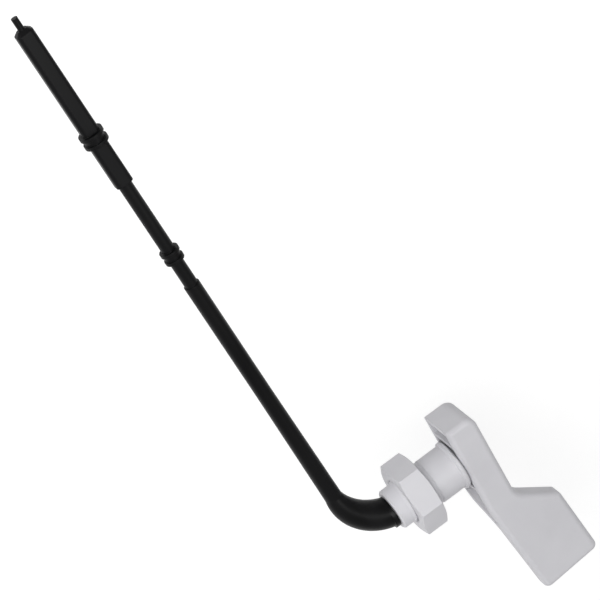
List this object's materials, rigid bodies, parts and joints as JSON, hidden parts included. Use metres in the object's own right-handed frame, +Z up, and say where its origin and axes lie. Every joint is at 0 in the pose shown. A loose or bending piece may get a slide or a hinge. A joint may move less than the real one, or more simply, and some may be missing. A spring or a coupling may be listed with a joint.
{
  "type": "cistern lever",
  "caption": "Front-mount cistern lever: white handle with a flared thumb paddle on a threaded bushing with lock nut, turning a long black arm that lifts the flush chain.",
  "frame": {"origin": "on the lever's pivot axis, in the plane of the bushing flange's rear face, which seats on the outside of the tank's front wall", "axes": "+X along the arm inside the tank, +Y through the wall into the tank, +Z up; the thumb paddle points to -X and stands out to -Y"},
  "size_m": [0.2636, 0.0743, 0.0262],
  "materials": {
    "white_plastic": "moulded white plastic, soft gloss",
    "black_plastic": "moulded black plastic, satin"
  },
  "bodies": {
    "bushing": {"threaded_bushing": "white_plastic"},
    "lever": {"handle": "white_plastic", "arm": "black_plastic"},
    "nut": {"lock_nut": "white_plastic"}
  },
  "joints": [
    {"name": "lever_pivot", "type": "hinge", "parent": "bushing", "child": "lever", "pos_m": [0, 0, 0], "axis": [0, -1, 0], "range_deg": [0, 30]},
    {"name": "nut_travel", "type": "slide", "parent": "bushing", "child": "nut", "axis": [0, 1, 0], "range_m": [-0.0014, 0.004]}
  ]
}
